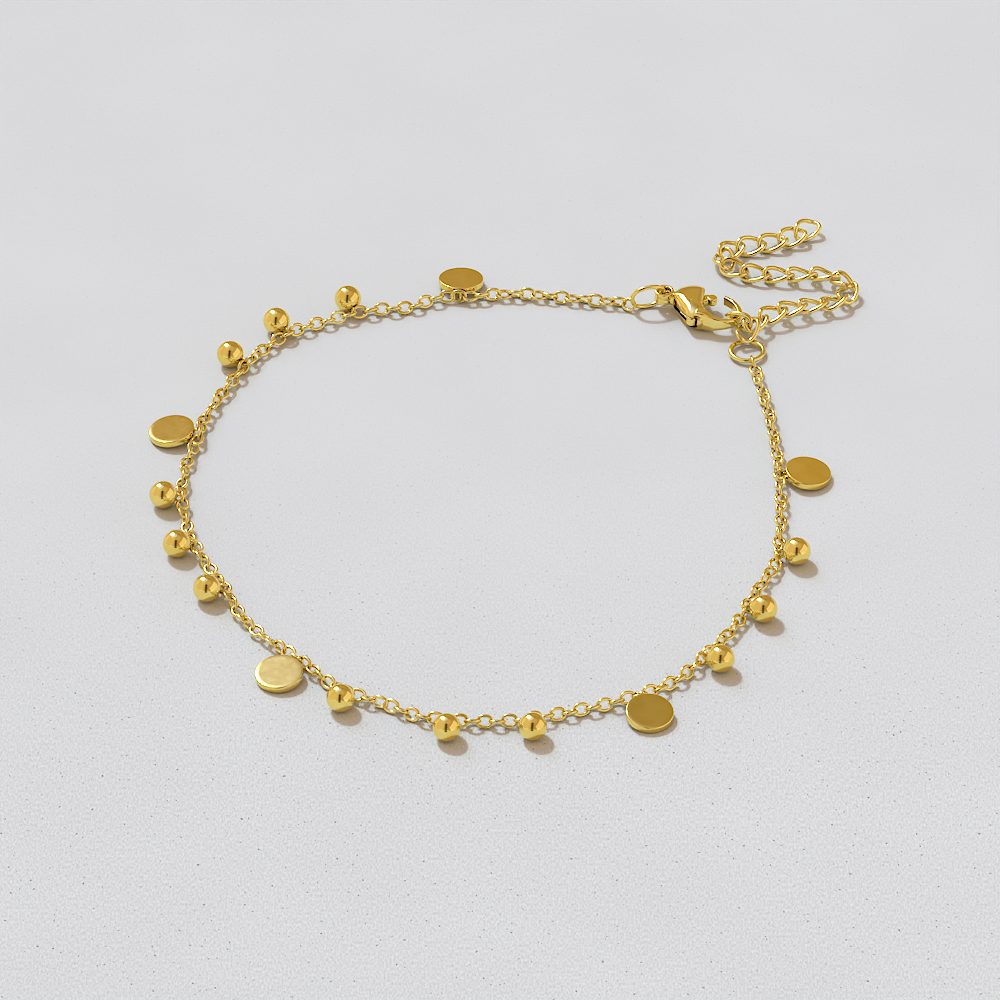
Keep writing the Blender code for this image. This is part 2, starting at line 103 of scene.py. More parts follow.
CABLE_LENGTH = 1.94
CABLE_WIDTH = 1.56
CABLE_WIRE = 0.18
# Runs of fine links: the share of the chain's length where each starts, the roll in degrees of
# its first link and the turn from one link to the next
CABLE_RUNS = [
    (0.0, 45, 62), (0.10, 52, 90), (0.20, 45, 75), (0.27, 45, 60), (0.48, 30, 66), (0.56, 128, 90),
    (0.74, 45, 80), (0.82, 45, -60),
]
CABLE_UNEVEN = 9

# Charms, each with its place as a share of the chain's length
CHARMS = [
    ("disc", 0.0928), ("ball", 0.1532), ("ball", 0.1934), ("ball", 0.2286), ("disc", 0.2939),
    ("ball", 0.3511), ("ball", 0.3908), ("ball", 0.4311), ("disc", 0.5028), ("ball", 0.5396),
    ("ball", 0.5945), ("ball", 0.6345), ("disc", 0.6926), ("ball", 0.7402), ("ball", 0.7842),
    ("ball", 0.8333), ("disc", 0.9023),
]
BAIL_RADIUS = 0.68
BAIL_LOOP = 0.47
BAIL_WIRE = 0.13
BAIL_OFFSET = 0.20
# Solder collar between a loop and its charm: distance beyond the loop's wire, radius
COLLAR = [(-0.02, 0.05), (0.0, 0.16), (0.08, 0.2), (0.18, 0.26), (0.24, 0.1)]
BALL_STEPS = 48
EDGE_STEPS = 8
BALL_RADIUS = 1.5
DISC_RADIUS = 2.53
DISC_THICKNESS = 0.8
DISC_EDGE = 0.13
DISC_TILT = math.radians(8)
SOLDER = 0.05

# Jump rings
CLASP_RING_HALF_LENGTH = 1.83
CLASP_RING_HALF_HEIGHT = 1.5
CLASP_RING_WIRE = 0.24
CLASP_RING_TURN = math.radians(13)
CLASP_RING_LEAN = math.radians(11)
CLASP_RING_TILT = math.radians(7)
CLASP_RING_PLAY = 0.05
CLASP_RING_SQUARENESS = 0.85
END_RING_CENTRE = (27.55, 26.34, 0.50)
END_RING_RADIUS = 1.83
END_RING_WIRE = 0.27
END_RING_LEAN = math.radians(0)
RING_SEAM = math.radians(1.6)

# Extender links: the middle of each with its roll in degrees, then turn and rise where it needs them
LINK_LENGTH = 3.8
LINK_WIDTH = 2.65
LINK_WIRE = 0.25
LINK_TWIST = math.radians(42)
LINKS = [
    (27.7, 29.05, 1.4, -5, 64, 9), (26.85, 30.95, 1.35, 105, -44, 8), (28.55, 30.55, 1.35, 0, 50, -6),
    (30.6, 32.2, 1.4, 5), (32.8, 33.4, 1.3, -5), (35.2, 34.2, 1.1, -10), (37.6, 35.0, 1.0, -15),
    (39.1, 36.7, 0.95, -5), (38.7, 38.8, 0.95, 15), (36.7, 40.0, 0.95, 15), (34.1, 40.2, 0.9, 10),
    (31.5, 40.3, 0.8, 0), (28.9, 40.5, 0.8, -10), (26.5, 41.3, 0.9, -15), (25.4, 43.0, 1.0, 0),
    (26.2, 44.9, 1.0, 20), (28.5, 45.8, 0.9, 25), (31.0, 46.5, 0.9, 15), (33.2, 47.3, 1.1, 25),
    (34.9, 48.7, 1.1, 35),
]

# Clasp, in its own plane with X from the tail eye to the hook, as shares of its length
CLASP_CENTRE = (22.494, 33.461)
CLASP_TURN = math.radians(-24.77)
CLASP_LENGTH = 10.0
CLASP_HALF_THICKNESS = 1.33
CLASP_HEIGHT = CLASP_HALF_THICKNESS + 0.05
MELT_VOXEL = 0.05
MELT_STEPS = 5
BODY_MIDDLE = (-0.09, -0.03)
BODY_OUTLINE = [
    (-0.37, 0.0), (-0.35, 0.11), (-0.295, 0.205), (-0.215, 0.268), (-0.13, 0.295), (-0.06, 0.275),
    (-0.015, 0.18), (0.025, 0.06), (0.075, -0.05), (0.135, -0.13), (0.16, -0.2), (0.145, -0.27),
    (0.09, -0.315), (0.03, -0.33), (-0.03, -0.31), (-0.11, -0.24), (-0.2, -0.16), (-0.3, -0.07),
]
# Hook and neck: points of the middle line, each with half width and half height
HOOK = [
    (0.05, -0.215, 0.07, 0.9), (0.13, -0.208, 0.062, 0.86), (0.2, -0.222, 0.045, 0.77),
    (0.27, -0.226, 0.032, 0.65), (0.35, -0.2, 0.03, 0.52), (0.42, -0.152, 0.029, 0.44),
    (0.46, -0.09, 0.03, 0.4), (0.473, -0.01, 0.033, 0.42), (0.44, 0.075, 0.031, 0.44),
    (0.345, 0.165, 0.027, 0.45), (0.24, 0.212, 0.022, 0.45), (0.158, 0.226, 0.019, 0.44),
]
HOOK_SQUARENESS = 0.42
NECK = [(-0.395, 0.0, 0.05, 0.45), (-0.3, 0.0, 0.06, 0.6)]
NECK_SQUARENESS = 0.8
EYE_MIDDLE = (-0.442, 0.0)
EYE_PLAY = 0.47
EYE_HALF_WIDTH = 0.2
EYE_BAND_HALF_HEIGHT = 0.37
EYE_BAND_APART = 0.35
EYE_RISE = 0.25
PIVOT = (-0.11, -0.07)
PIN_RADIUS = 0.35
PIN_STANDS_OUT = 0.03
LEVER_HALF_THICKNESS = 0.45
LEVER_EDGE = 0.1
SLOT_PLAY = 0.2
SLOT = [
    (-0.3, -0.46), (0.095, -0.46), (0.095, -0.1), (0.2, 0.0), (0.2, 0.34), (-0.02, 0.34), (-0.2, 0.14),
    (-0.3, 0.06),
]
LEVER_OUTLINE = [
    (0.03, 0.2), (-0.04, 0.165), (-0.12, 0.07), (-0.2, 0.005), (-0.265, -0.03), (-0.275, -0.06),
    (-0.2, -0.13), (-0.11, -0.195), (-0.04, -0.24), (0.0, -0.27), (0.04, -0.26), (0.045, -0.21),
    (0.0, -0.12), (-0.02, -0.05), (0.0, 0.03), (0.04, 0.09), (0.07, 0.14), (0.06, 0.19),
]
# Round ends of the lever: middle, radius as a share of the clasp's length, half thickness
THUMB_TAB = ((0.012, -0.264), 0.062, 0.58)
GATE_KNOB = ((0.07, 0.163), 0.062, 0.5)

# Gold: the reach in metres of the painted shade, which darkens the colour in crevices, between links
# and near the floor, and the share of colour left there, and noises for tone, haze, ripples and
# polishing lines, with features 1 / scale of a metre wide
PAINTED_SHADE_REACH = 0.0005
PAINTED_SHADE_TONE = 0.35
TONE_SCALE = 420
HAZE_SCALE = 1500
RIPPLE_SCALE = 700
RIPPLE_HEIGHT = 0.00004
LINE_SCALE = 9000
LINE_HEIGHT = 0.000004
LINE_STRETCH = (1.0, 0.12, 0.5)
SHARP_ANGLE = math.radians(38)

# Plaster: it is smooth at SMOOTH_Y and farther back, and fully rough at ROUGH_Y and nearer
SMOOTH_Y = 0.01
ROUGH_Y = -0.05
SMOOTH_SHARE = 0.15
GRAIN_SCALE = 5000
GRAIN_TONE = 0.15
GRAIN_HEIGHT = 0.0001
PIT_SCALE = 2600
PIT_TONE = -0.6
CLOUD_SCALE = 45
FLOOR_HALF = 1.5


# Materials

def nodes_of(name):
    material = bpy.data.materials.new(name)
    material.use_nodes = True
    tree = material.node_tree
    return material, tree, tree.nodes["Principled BSDF"]


def noise(tree, coordinate, scale, detail=3.0, stretch=None):
    """A noise texture over the object's own metres, with features 1 / scale of a metre wide."""
    node = tree.nodes.new("ShaderNodeTexNoise")
    node.inputs["Scale"].default_value = scale
    node.inputs["Detail"].default_value = detail
    if stretch is not None:
        mapping = tree.nodes.new("ShaderNodeMapping")
        mapping.inputs["Scale"].default_value = stretch
        tree.links.new(coordinate, mapping.inputs["Vector"])
        coordinate = mapping.outputs["Vector"]
    tree.links.new(coordinate, node.inputs["Vector"])
    return node.outputs["Fac"]


def ramp(tree, value, low, high, low_colour, high_colour):
    node = tree.nodes.new("ShaderNodeValToRGB")
    node.color_ramp.elements[0].position = low
    node.color_ramp.elements[1].position = high
    node.color_ramp.elements[0].color = (*low_colour, 1)
    node.color_ramp.elements[1].color = (*high_colour, 1)
    tree.links.new(value, node.inputs["Fac"])
    return node.outputs["Color"]


def spread(tree, value, from_low, from_high, low, high):
    node = tree.nodes.new("ShaderNodeMapRange")
    limits = {"From Min": from_low, "From Max": from_high, "To Min": low, "To Max": high}
    for name, number in limits.items():
        node.inputs[name].default_value = number
    tree.links.new(value, node.inputs["Value"])
    return node.outputs["Result"]


def math_node(tree, operation, first, second):
    node = tree.nodes.new("ShaderNodeMath")
    node.operation = operation
    tree.links.new(first, node.inputs[0])
    if isinstance(second, float):
        node.inputs[1].default_value = second
    else:
        tree.links.new(second, node.inputs[1])
    return node.outputs["Value"]


def bump(tree, height, distance, strength, under=None):
    node = tree.nodes.new("ShaderNodeBump")
    node.inputs["Strength"].default_value = strength
    node.inputs["Distance"].default_value = distance
    tree.links.new(height, node.inputs["Height"])
    if under is not None:
        tree.links.new(under, node.inputs["Normal"])
    return node.outputs["Normal"]


def gold(name, deep, bright, smooth, dull, lumps, hairlines):
    """Polished gold plating: uneven tone, painted shade in crevices and near the floor, soft ripples and
    fine polishing lines.
    """
    material, tree, shader = nodes_of(name)
    place = tree.nodes.new("ShaderNodeTexCoord").outputs["Object"]
    tone = noise(tree, place, TONE_SCALE, 4)
    # Painted shade: ambient occlusion darkens the base colour in crevices, between links and near the
    # floor
    painted_shade = tree.nodes.new("ShaderNodeAmbientOcclusion")
    painted_shade.samples = 6
    painted_shade.inputs["Distance"].default_value = PAINTED_SHADE_REACH
    toned = tree.nodes.new("ShaderNodeVectorMath")
    toned.operation = "SCALE"
    tree.links.new(ramp(tree, tone, 0.35, 0.65, deep, bright), toned.inputs[0])
    share = spread(tree, painted_shade.outputs["AO"], 0.25, 0.75, PAINTED_SHADE_TONE, 1.0)
    tree.links.new(share, toned.inputs["Scale"])
    tree.links.new(toned.outputs["Vector"], shader.inputs["Base Color"])
    haze = noise(tree, place, HAZE_SCALE, 5)
    tree.links.new(spread(tree, haze, 0.3, 0.7, smooth, dull), shader.inputs["Roughness"])
    ripple = bump(tree, noise(tree, place, RIPPLE_SCALE, 2), RIPPLE_HEIGHT, lumps)
    lines = noise(tree, place, LINE_SCALE, 4, LINE_STRETCH)
    tree.links.new(bump(tree, lines, LINE_HEIGHT, hairlines, ripple), shader.inputs["Normal"])
    shader.inputs["Metallic"].default_value = 1.0
    return material


def plaster():
    """Pale troweled plaster with fine grain and a few dark pits, smoother towards the back."""
    material, tree, shader = nodes_of("plaster")
    place = tree.nodes.new("ShaderNodeTexCoord").outputs["Object"]
    axes = tree.nodes.new("ShaderNodeSeparateXYZ")
    tree.links.new(place, axes.inputs["Vector"])
    roughening = spread(tree, axes.outputs["Y"], SMOOTH_Y, ROUGH_Y, SMOOTH_SHARE, 1.0)
    grain = noise(tree, place, GRAIN_SCALE, 4, (1.0, 0.45, 1.0))
    pits = noise(tree, place, PIT_SCALE, 1, (1.0, 0.8, 1.0))
    cloud = noise(tree, place, CLOUD_SCALE, 4)
    base = ramp(tree, cloud, 0.3, 0.7, (0.70, 0.685, 0.642), (0.725, 0.71, 0.667))
    tone = spread(tree, grain, 0.25, 0.75, -GRAIN_TONE, GRAIN_TONE)
    speck = spread(tree, pits, 0.70, 0.77, 0.0, PIT_TONE)
    uneven = math_node(tree, "MULTIPLY", math_node(tree, "ADD", tone, speck), roughening)
    tinted = tree.nodes.new("ShaderNodeVectorMath")
    tinted.operation = "SCALE"
    tree.links.new(base, tinted.inputs[0])
    tree.links.new(math_node(tree, "ADD", uneven, 1.0), tinted.inputs["Scale"])
    tree.links.new(tinted.outputs["Vector"], shader.inputs["Base Color"])
    shader.inputs["Roughness"].default_value = 0.9
    shader.inputs["Specular IOR Level"].default_value = 0.15
    height = math_node(tree, "MULTIPLY", grain, roughening)
    tree.links.new(bump(tree, height, GRAIN_HEIGHT, 0.15), shader.inputs["Normal"])
    return material


# Shapes

def add_piece(name, mesh, material, body, replaced):
    """A dressed piece in place of CAD nodes, riding on a body."""
    piece = bpy.data.objects.new(name, mesh)
    bpy.context.scene.collection.objects.link(piece)
    mesh.materials.clear()
    mesh.materials.append(material)
    mesh.shade_smooth()
    mesh.set_sharp_from_angle(angle=SHARP_ANGLE)
    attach(piece, body)
    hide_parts(*replaced)
    return piece


def mesh_from(name, shells):
    """One mesh in metres from closed shells, each given as points in millimetres and faces."""
    made = bmesh.new()
    for points, faces in shells:
        corners = [made.verts.new((Vector(point) + MOVE) * MM) for point in points]
        for face in faces:
            made.faces.new([corners[index] for index in face])
    bmesh.ops.recalc_face_normals(made, faces=made.faces)
    mesh = bpy.data.meshes.new(name)
    made.to_mesh(mesh)
    made.free()
    return mesh


def lofted(sections, closed):
    """Points and faces of rings of equal length, joined one to the next."""
    sides = len(sections[0])
    points = [point for section in sections for point in section]
    count = len(sections)
    faces = []
    for row in range(count if closed else count - 1):
        after = (row + 1) % count
        for side in range(sides):
            beside = (side + 1) % sides
            faces.append((row * sides + side, row * sides + beside,
                          after * sides + beside, after * sides + side))
    if not closed:
        faces.append(tuple(range(sides - 1, -1, -1)))
        faces.append(tuple((count - 1) * sides + side for side in range(sides)))
    return points, faces


def power(value, exponent):
    return math.copysign(abs(value) ** exponent, value)


def oval_section(middle, across, up, sides, squareness=1.0):
    section = []
    for side in range(sides):
        angle = 2 * math.pi * (side + 0.5) / sides
        section.append(middle + across * power(math.cos(angle), squareness)
                       + up * power(math.sin(angle), squareness))
    return section


def smooth_point(points, place):
    """A point of the smooth curve through the points, place counts points from the first."""
    last = len(points) - 1
    index = min(int(place), last - 1)
    share = place - index
    before = points[index] * 2 - points[index + 1] if index == 0 else points[index - 1]
    start = points[index]
    end = points[index + 1]
    after = end * 2 - start if index + 2 > last else points[index + 2]
    return 0.5 * (start * 2 + (end - before) * share
                  + (before * 2 - start * 5 + end * 4 - after) * share ** 2
                  + (start * 3 - before - end * 3 + after) * share ** 3)


class Chain:
    """The chain's middle line on the floor plan, measured by its length."""

    def __init__(self, route, steps=24):
        points = [Vector(point) for point in route]
        places = (len(points) - 1) * steps
        self.line = [smooth_point(points, number / steps) for number in range(places + 1)]
        self.reached = [0.0]
        for start, end in zip(self.line, self.line[1:]):
            self.reached.append(self.reached[-1] + (end - start).length)
        self.length = self.reached[-1]

    def flat_point(self, length):
        length = min(max(length, 0.0), self.length)
        low = 0
        high = len(self.reached) - 1
        while high - low > 1:
            half = (low + high) // 2
            if self.reached[half] <= length:
                low = half
            else:
                high = half
        share = (length - self.reached[low]) / (self.reached[high] - self.reached[low])
        return self.line[low].lerp(self.line[high], share)

    def point(self, length):
        flat = self.flat_point(length)
        lift = 0.0
        for _, share in CHARMS:
            away = (length - share * self.length) / CHARM_LIFT_REACH
            lift = max(lift, math.exp(-away * away))
        height = CHAIN_HEIGHT + (CHAIN_HEIGHT_AT_CHARM - CHAIN_HEIGHT) * lift
        return Vector((flat.x, flat.y, height))

    def directions(self, length):
        """Along the chain, and level outward from the loop."""
        step = 0.4
        ahead = self.flat_point(length + step) - self.flat_point(length - step)
        ahead.normalize()
        return Vector((ahead.x, ahead.y, 0)), Vector((ahead.y, -ahead.x, 0))


def wire_section(middle_at, angle, wire, sides):
    """A round section of the wire whose middle line is middle_at(angle)."""
    middle = middle_at(angle)
    along = (middle_at(angle + 0.05) - middle_at(angle - 0.05)).normalized()
    outward = (middle - along * middle.dot(along)).normalized()
    return oval_section(middle, outward * wire, along.cross(outward) * wire, sides)


def wire_ring(middle_at, wire, around, sides):
    """A closed ring of wire."""
    return lofted([wire_section(middle_at, 2 * math.pi * (step + 0.5) / around, wire, sides)
                   for step in range(around)], True)


def cable_point(angle):
    length = (CABLE_LENGTH / 2 - CABLE_WIRE) * power(math.cos(angle), 0.9)
    width = (CABLE_WIDTH / 2 - CABLE_WIRE) * power(math.sin(angle), 0.9)
    return Vector((length, width, 0))


def scatter(number):
    """A fixed unevenness from -1 to 1 for each number."""
    value = math.sin(number * 12.9898 + 4.1) * 43758.5453
    return 2 * (value - math.floor(value)) - 1


def cable_chain(chain, around=20, sides=10):
    """All the fine links, each turned on from the one before."""
    points, faces = wire_ring(cable_point, CABLE_WIRE, around, sides)
    shells = []
    count = int(chain.length / CABLE_PITCH)
    for number in range(count + 1):
        length = chain.length * number / count
        along, outward = chain.directions(length)
        start, roll, turn = [run for run in CABLE_RUNS if run[0] <= number / count][-1]
        roll += turn * (number - round(start * count))
        angle = math.radians(roll + CABLE_UNEVEN * scatter(number))
        side = outward * math.cos(angle) + UP * math.sin(angle)
        basis = Matrix((along, side, along.cross(side))).transposed()
        middle = chain.point(length)
        standing = abs(side.z) * (CABLE_WIDTH / 2 - CABLE_WIRE) + CABLE_WIRE
        middle.z = max(middle.z, standing)
        shells.append(([middle + basis @ point for point in points], faces))
    return mesh_from("cable_chain", shells)


def ring_shell(centre, first, second, radius, wire, around, sides, flat_wire=None):
    axis = first.cross(second)
    sections = []
    for step in range(around):
        angle = 2 * math.pi * step / around
        outward = first * math.cos(angle) + second * math.sin(angle)
        squareness = 0.6 if flat_wire else 1.0
        sections.append(oval_section(centre + outward * radius, outward * wire,
                                     axis * (flat_wire or wire), sides, squareness))
    return lofted(sections, True)


def bail_shells(chain, length, toward):
    """The small loop through a chain link, with the collar that solders it to the charm."""
    middle = chain.point(length) + toward * BAIL_OFFSET
    across = chain.directions(length)[0]
    up = toward.cross(across).normalized()
    loop = ring_shell(middle, toward, up, BAIL_LOOP, BAIL_WIRE, 40, 12)
    collar = turned(middle, toward, [(BAIL_LOOP + beyond, radius) for beyond, radius in COLLAR], 20)
    return [loop, collar]


def turned(centre, axis, profile, around):
    """A solid turned round an axis from (height, radius) pairs, pointed where it starts and ends."""
    side = axis.orthogonal().normalized()
    other = axis.cross(side)
    sections = []
    for height, radius in profile:
        sections.append([centre + axis * height
                         + side * (radius * math.cos(2 * math.pi * step / around))
                         + other * (radius * math.sin(2 * math.pi * step / around))
                         for step in range(around)])
    return lofted(sections, False)


def make_ball(name, chain, length, material):
    _, outward = chain.directions(length)
    foot = chain.point(length)
    rise = BALL_RADIUS - foot.z
    reach = BALL_RADIUS + BAIL_RADIUS - SOLDER
    centre = foot + outward * math.sqrt(reach ** 2 - rise ** 2) + UP * rise
    toward = (foot - centre).normalized()
    profile = []
    for step in range(BALL_STEPS + 1):
        angle = math.pi * (step + 0.15) / (BALL_STEPS + 0.3)
        profile.append((-BALL_RADIUS * math.cos(angle), BALL_RADIUS * math.sin(angle)))
    shells = [turned(centre, toward, profile, 64)] + bail_shells(chain, length, -toward)
    mesh = mesh_from(name, shells)
    return add_piece(f"{name}_charm", mesh, material, "anklet", [name])


def make_disc(name, chain, length, material):
    ahead, outward = chain.directions(length)
    foot = chain.point(length)
    fall = outward * math.cos(DISC_TILT) - UP * math.sin(DISC_TILT)
    normal = fall.cross(ahead)
    if normal.z < 0:
        normal = -normal
    half = DISC_THICKNESS / 2
    centre = foot + outward * (BAIL_RADIUS + DISC_RADIUS * math.cos(DISC_TILT) - SOLDER * 2)
    centre.z = DISC_RADIUS * math.sin(DISC_TILT) + half * math.cos(DISC_TILT)
    profile = [(-half, DISC_RADIUS * share) for share in (0.02, 0.3, 0.6, 0.8)]
    for step in range(EDGE_STEPS + 1):
        angle = math.pi / 2 * step / EDGE_STEPS
        profile.append((-half + DISC_EDGE * (1 - math.cos(angle)),
                        DISC_RADIUS - DISC_EDGE * (1 - math.sin(angle))))
    profile += [(-height, radius) for height, radius in reversed(profile)]
    shells = [turned(centre, normal, profile, 96)] + bail_shells(chain, length, fall)
    mesh = mesh_from(name, shells)
    return add_piece(f"{name}_charm", mesh, material, "anklet", [name])


def clasp_point(flat, height):
    x, y = (share * CLASP_LENGTH for share in flat)
    return Vector((CLASP_CENTRE[0] + x * math.cos(CLASP_TURN) - y * math.sin(CLASP_TURN),
                   CLASP_CENTRE[1] + x * math.sin(CLASP_TURN) + y * math.cos(CLASP_TURN),
                   CLASP_HEIGHT + height))


def cut_wire(middle_at, wire, cut_at, around, sides):
    """A wire loop with the fine seam where its two cut ends meet."""
    sections = []
    for step in range(around + 1):
        angle = cut_at + RING_SEAM + (2 * math.pi - 2 * RING_SEAM) * step / around
        sections.append(wire_section(middle_at, angle, wire, sides))
    return lofted(sections, False)


def clasp_ring_shell():
    level = Vector((math.cos(CLASP_RING_TURN), math.sin(CLASP_RING_TURN), 0))
    back = Vector((-level.y, level.x, 0))
    rising = UP * math.cos(CLASP_RING_LEAN) - back * math.sin(CLASP_RING_LEAN)
    long_way = level * math.cos(CLASP_RING_TILT) + rising * math.sin(CLASP_RING_TILT)
    short_way = rising * math.cos(CLASP_RING_TILT) - level * math.sin(CLASP_RING_TILT)
    centre = clasp_point(EYE_MIDDLE, 0) - level * (CLASP_RING_HALF_LENGTH + CLASP_RING_PLAY)

    def middle_at(angle):
        return (long_way * (CLASP_RING_HALF_LENGTH * power(math.cos(angle), CLASP_RING_SQUARENESS))
                + short_way * (CLASP_RING_HALF_HEIGHT * power(math.sin(angle), CLASP_RING_SQUARENESS)))

    lowest = min(middle_at(math.radians(degrees)).z for degrees in range(360))
    centre.z = CLASP_RING_WIRE - lowest
    points, faces = cut_wire(middle_at, CLASP_RING_WIRE, math.radians(205), 96, 18)
    return [centre + point for point in points], faces


def end_ring_shell():
    rising = Vector((0, math.cos(END_RING_LEAN), math.sin(END_RING_LEAN)))

    def middle_at(angle):
        return (Vector((math.cos(angle), 0, 0)) * END_RING_RADIUS
                + rising * (math.sin(angle) * END_RING_RADIUS))

    points, faces = cut_wire(middle_at, END_RING_WIRE, math.radians(140), 96, 18)
    return [Vector(END_RING_CENTRE) + point for point in points], faces


def curb_point(angle):
    length = (LINK_LENGTH / 2 - LINK_WIRE) * power(math.cos(angle), 0.85)
    width = (LINK_WIDTH / 2 - LINK_WIRE) * power(math.sin(angle), 0.85)
    twist = -LINK_TWIST * math.cos(angle)
    return Vector((length, width * math.cos(twist), width * math.sin(twist)))


def link_poses():
    """Each link's pose. It points from the link before it to the link after it."""
    poses = []
    last = len(LINKS) - 1
    for number, place in enumerate(LINKS):
        ahead = Vector(LINKS[min(number + 1, last)][:3]) - Vector(LINKS[max(number - 1, 0)][:3])
        turn = math.atan2(ahead.y, ahead.x)
        rise = math.atan2(ahead.z, math.hypot(ahead.x, ahead.y))
        if len(place) > 4:
            turn, rise = (math.radians(value) for value in place[4:])
        poses.append(Matrix.Translation(place[:3]) @ Matrix.Rotation(turn, 4, "Z")
                     @ Matrix.Rotation(-rise, 4, "Y") @ Matrix.Rotation(math.radians(place[3]), 4, "X"))
    return poses


def rounded(outline, steps):
    """A smooth closed outline through the points of a coarse one."""
    count = len(outline)
    points = [Vector(outline[(number - 2) % count]) for number in range(count + 5)]
    return [smooth_point(points, 2 + number / steps) for number in range(count * steps)]


def plate_shell(outline, half_thickness):
    sections = [[clasp_point(point, height) for point in outline]
                for height in (-half_thickness, half_thickness)]
    return lofted(sections, False)


def soft_plate_shell(outline, half_thickness, edge):
    """A plate with rounded edges. Its outline goes round leftward."""
    sections = []
    for step in range(EDGE_STEPS + 1):
        angle = math.pi * (step / EDGE_STEPS - 0.5)
        rim = edge * (1 - math.cos(angle)) / CLASP_LENGTH
        ring = []
        for number, point in enumerate(outline):
            ahead = outline[(number + 1) % len(outline)] - outline[number - 1]
            inward = Vector((-ahead.y, ahead.x)).normalized()
            ring.append(clasp_point(point + inward * rim, half_thickness * math.sin(angle)))
        sections.append(ring)
    return lofted(sections, False)


def pillow_shell(outline, centre, half_thickness, levels=28):
    sections = []
    for level in range(levels + 1):
        rise = math.sin(math.pi * (level / levels - 0.5) * 0.97)
        shrink = (1 - abs(rise) ** 2.6) ** (1 / 2.6)
        ring = []
        for x, y in outline:
            flat = (centre[0] + (x - centre[0]) * shrink, centre[1] + (y - centre[1]) * shrink)
            ring.append(clasp_point(flat, rise * half_thickness))
        sections.append(ring)
    return lofted(sections, False)


def bar_shell(route, squareness, sides=36, steps=10):
    points = [Vector(row) for row in route]
    count = (len(points) - 1) * steps
    rows = [smooth_point(points, number / steps) for number in range(count + 1)]
    sections = []
    for number, row in enumerate(rows):
        before = rows[max(number - 1, 0)]
        after = rows[min(number + 1, count)]
        along = Vector((after[0] - before[0], after[1] - before[1])).normalized()
        middle = clasp_point((row[0], row[1]), 0)
        across = clasp_point((row[0] + along.y * row[2], row[1] - along.x * row[2]), 0) - middle
        up = UP * (row[3] * CLASP_HALF_THICKNESS)
        sections.append(oval_section(middle, across, up, sides, squareness))
    return lofted(sections, False)


def round_end_shell(middle, radius, half_thickness):
    """A short upright block with a softly rounded rim and a slightly domed face."""
    profile = []
    for height, share in ((-1, 0.1), (-0.99, 0.5), (-0.95, 0.72), (-0.88, 0.84), (-0.76, 0.93),
                          (-0.6, 0.98), (-0.4, 1), (0, 1)):
        profile.append((height * half_thickness, radius * share * CLASP_LENGTH))
    profile += [(-height, reach) for height, reach in reversed(profile[:-1])]
    return turned(clasp_point(middle, 0), UP, profile, 40)


def pin_shell(radius, half_length, sides=40):
    profile = [(-half_length, radius - 0.04), (-half_length + 0.04, radius),
               (half_length - 0.04, radius), (half_length, radius - 0.04)]
    return turned(clasp_point(PIVOT, 0), UP, profile, sides)


def cut_away(piece, shell):
    """Takes a closed shell out of a piece."""
    cutter = bpy.data.objects.new("cutter", mesh_from("cutter", [shell]))
    bpy.context.scene.collection.objects.link(cutter)
    modifier = piece.modifiers.new("cut", "BOOLEAN")
    modifier.operation = "DIFFERENCE"
    modifier.solver = "EXACT"
    modifier.object = cutter
    apply_modifiers(piece)
    bpy.data.objects.remove(cutter)


def apply_modifiers(piece):
    bpy.context.view_layer.update()
    seen = piece.evaluated_get(bpy.context.evaluated_depsgraph_get())
    mesh = bpy.data.meshes.new_from_object(seen)
    piece.modifiers.clear()
    piece.data = mesh


def make_clasp(material):
    eye_radius = CLASP_RING_WIRE + EYE_PLAY + EYE_HALF_WIDTH
    bands = [ring_shell(clasp_point(EYE_MIDDLE, EYE_RISE + height), Vector((1, 0, 0)), Vector((0, 1, 0)),
                        eye_radius, EYE_HALF_WIDTH, 64, 24, EYE_BAND_HALF_HEIGHT)
             for height in (-EYE_BAND_APART, EYE_BAND_APART)]
    shells = [pillow_shell(rounded(BODY_OUTLINE, 8), BODY_MIDDLE, CLASP_HALF_THICKNESS),
              bar_shell(HOOK, HOOK_SQUARENESS), bar_shell(NECK, NECK_SQUARENESS)] + bands
    body = bpy.data.objects.new("clasp_shell", mesh_from("clasp_shell", shells))
    bpy.context.scene.collection.objects.link(body)
    remesh = body.modifiers.new("remesh", "REMESH")
    remesh.mode = "VOXEL"
    remesh.voxel_size = MELT_VOXEL * MM
    melt = body.modifiers.new("melt", "SMOOTH")
    melt.factor = 0.5
    melt.iterations = MELT_STEPS
    apply_modifiers(body)
    cut_away(body, plate_shell(SLOT, LEVER_HALF_THICKNESS + SLOT_PLAY))
    body.data.name = "clasp_shell"
    mesh = body.data
    bpy.data.objects.remove(body)
    add_piece("clasp_shell", mesh, material, "anklet", ["clasp_body"])

    plate = soft_plate_shell(rounded(LEVER_OUTLINE, 6), LEVER_HALF_THICKNESS, LEVER_EDGE)
    lever = mesh_from("lever", [plate, round_end_shell(*THUMB_TAB), round_end_shell(*GATE_KNOB)])
    add_piece("clasp_gate", lever, material, "lever", ["clasp_lever"])
    pin = mesh_from("pin", [pin_shell(PIN_RADIUS, CLASP_HALF_THICKNESS + PIN_STANDS_OUT)])
    add_piece("clasp_rivet", pin, material, "anklet", ["clasp_pin"])


# Stage

def make_floor(material):
    mesh = bpy.data.meshes.new("floor")
    corners = [(x * FLOOR_HALF, y * FLOOR_HALF, 0) for x, y in ((-1, -1), (1, -1), (1, 1), (-1, 1))]
    mesh.from_pydata(corners, [], [(0, 1, 2, 3)])
    floor = bpy.data.objects.new("floor", mesh)
    bpy.context.scene.collection.objects.link(floor)
    mesh.materials.append(material)


